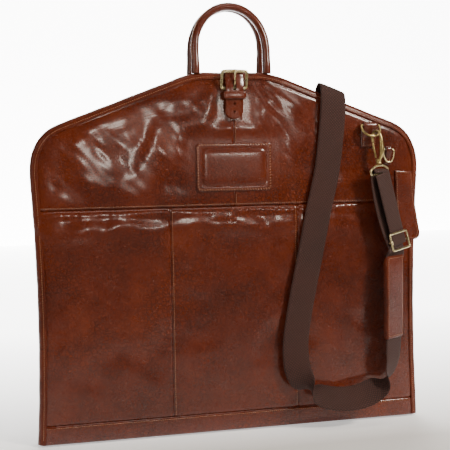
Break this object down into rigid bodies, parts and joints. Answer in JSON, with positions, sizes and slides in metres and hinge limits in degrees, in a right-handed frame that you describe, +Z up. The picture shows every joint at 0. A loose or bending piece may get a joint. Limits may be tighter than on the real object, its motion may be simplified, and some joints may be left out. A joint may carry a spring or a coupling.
{
  "type": "garment bag",
  "caption": "Folded leather garment bag with shaped shoulders, rolled handles, buckled closure strap, outer pocket panels, patch and a clip-on webbing shoulder strap.",
  "frame": {"origin": "middle of the underside of the spine, on the fold line between the two halves", "axes": "+Z up towards the handles, -Y the front face with the pocket panels, +X to the right seen from the front"},
  "size_m": [0.6105, 0.1059, 0.66],
  "materials": {
    "leather": "glazed, glossy",
    "trim_leather": "glazed, glossy",
    "lining": "matt weave",
    "webbing": "matt woven",
    "antique_brass": "polished, pale",
    "zip_tape": "matt"
  },
  "bodies": {
    "front_half": {"front_panel_upper_left": "leather", "front_panel_upper_right": "leather", "pocket_panel_left": "leather", "pocket_panel_centre": "leather", "pocket_panel_right": "leather", "front_band": "leather", "front_spine": "leather", "front_gusset_left": "leather", "front_gusset_right": "leather", "front_gusset_crown": "leather", "front_binding": "trim_leather", "front_lining": "lining", "front_inner_panel_left": "leather", "front_inner_panel_right": "leather", "front_zip_chain": "zip_tape", "name_patch": "leather", "closure_strap": "trim_leather", "buckle_chape": "trim_leather", "strap_keeper": "trim_leather", "ring_tab_front": "trim_leather", "ring_tab_small": "trim_leather", "ring_tab_rear": "trim_leather", "side_tab": "trim_leather", "front_handle_anchor_left": "trim_leather", "front_handle_anchor_right": "trim_leather", "hanger_bracket": "antique_brass", "shoulder_strap_webbing": "webbing", "strap_end_loop": "webbing", "swivel_eye_front": "antique_brass", "swivel_eye_rear": "antique_brass"},
    "back_half": {"back_panel_upper": "leather", "back_panel_lower": "leather", "back_band": "leather", "back_spine": "leather", "back_gusset_left": "leather", "back_gusset_right": "leather", "back_gusset_crown": "leather", "back_binding": "trim_leather", "back_inner_panel_left": "leather", "back_inner_panel_right": "leather", "back_zip_chain": "zip_tape", "back_handle_anchor_left": "trim_leather", "back_handle_anchor_right": "trim_leather"},
    "front_handle": {"front_handle": "trim_leather"},
    "back_handle": {"back_handle": "trim_leather"},
    "buckle_frame": {"buckle_frame": "antique_brass"},
    "buckle_prong": {"buckle_prong": "antique_brass"},
    "d_ring_front": {"d_ring_front": "antique_brass"},
    "d_ring_rear": {"d_ring_rear": "antique_brass"},
    "small_ring": {"small_ring": "antique_brass"},
    "snap_hook_front": {"snap_hook_front": "antique_brass"},
    "snap_gate_front": {"snap_gate_front": "antique_brass"},
    "snap_hook_rear": {"snap_hook_rear": "antique_brass"},
    "snap_gate_rear": {"snap_gate_rear": "antique_brass"},
    "strap_slider": {"strap_slider": "antique_brass"},
    "shoulder_pad": {"shoulder_pad": "trim_leather"},
    "zip_slider": {"zip_slider": "antique_brass"},
    "zip_pull": {"zip_pull": "trim_leather"}
  },
  "joints": [
    {"name": "half_fold", "type": "hinge", "parent": "front_half", "child": "back_half", "pos_m": [0, 0, 0], "axis": [-1, 0, 0], "range_deg": [0, 175]},
    {"name": "front_handle_swing", "type": "hinge", "parent": "front_half", "child": "front_handle", "pos_m": [0, -0.018, 0.5655], "axis": [1, 0, 0], "range_deg": [0, 80]},
    {"name": "back_handle_swing", "type": "hinge", "parent": "back_half", "child": "back_handle", "pos_m": [0, 0.018, 0.5655], "axis": [-1, 0, 0], "range_deg": [0, 80]},
    {"name": "buckle_frame_tilt", "type": "hinge", "parent": "front_half", "child": "buckle_frame", "pos_m": [0, -0.0315, 0.529], "axis": [1, 0, 0], "range_deg": [0, 20]},
    {"name": "buckle_prong_lift", "type": "hinge", "parent": "buckle_frame", "child": "buckle_prong", "pos_m": [0, -0.0315, 0.529], "axis": [1, 0, 0], "range_deg": [0, 25]},
    {"name": "d_ring_front_swing", "type": "hinge", "parent": "front_half", "child": "d_ring_front", "pos_m": [0.2178, -0.035, 0.472], "axis": [-1, 0, 0], "range_deg": [-3, 4]},
    {"name": "d_ring_rear_swing", "type": "hinge", "parent": "front_half", "child": "d_ring_rear", "pos_m": [-0.223, -0.0036, 0.462], "axis": [1, 0, 0], "range_deg": [0, 1.5]},
    {"name": "small_ring_swing", "type": "hinge", "parent": "front_half", "child": "small_ring", "pos_m": [0.25, -0.0314, 0.434], "axis": [-1, 0, 0], "range_deg": [0, 25]},
    {"name": "snap_hook_front_swivel", "type": "hinge", "parent": "front_half", "child": "snap_hook_front", "pos_m": [0.229, -0.046, 0.396], "axis": [-0.0872, 0, 0.9962], "range_deg": [-8, 8]},
    {"name": "snap_gate_front_press", "type": "hinge", "parent": "snap_hook_front", "child": "snap_gate_front", "pos_m": [0.2248, -0.04121, 0.42073], "axis": [0.917, 0.3907, 0.0802], "range_deg": [0, 20], "stiffness_Nm_per_rad": 0.02},
    {"name": "snap_hook_rear_swivel", "type": "hinge", "parent": "front_half", "child": "snap_hook_rear", "pos_m": [-0.16744, -0.0004, 0.40463], "axis": [-0.766, 0, 0.6428], "range_deg": [-1.2, 1.2]},
    {"name": "snap_gate_rear_press", "type": "hinge", "parent": "snap_hook_rear", "child": "snap_gate_rear", "pos_m": [-0.18915, 0.00294, 0.41765], "axis": [0.4132, 0.766, 0.4924], "range_deg": [0, 20], "stiffness_Nm_per_rad": 0.02},
    {"name": "strap_slider_travel", "type": "slide", "parent": "front_half", "child": "strap_slider", "axis": [-0.2498, 0, 0.9683], "range_m": [0, 0.03]},
    {"name": "shoulder_pad_travel", "type": "slide", "parent": "front_half", "child": "shoulder_pad", "axis": [0, 0, 1], "range_m": [-0.008, 0.006]},
    {"name": "zip_slider_travel", "type": "slide", "parent": "front_half", "child": "zip_slider", "axis": [0, 0, 1], "range_m": [-0.484, 0]},
    {"name": "zip_pull_swing", "type": "hinge", "parent": "zip_slider", "child": "zip_pull", "pos_m": [0, -0.0046, 0.522], "axis": [1, 0, 0], "range_deg": [0, 8]}
  ]
}
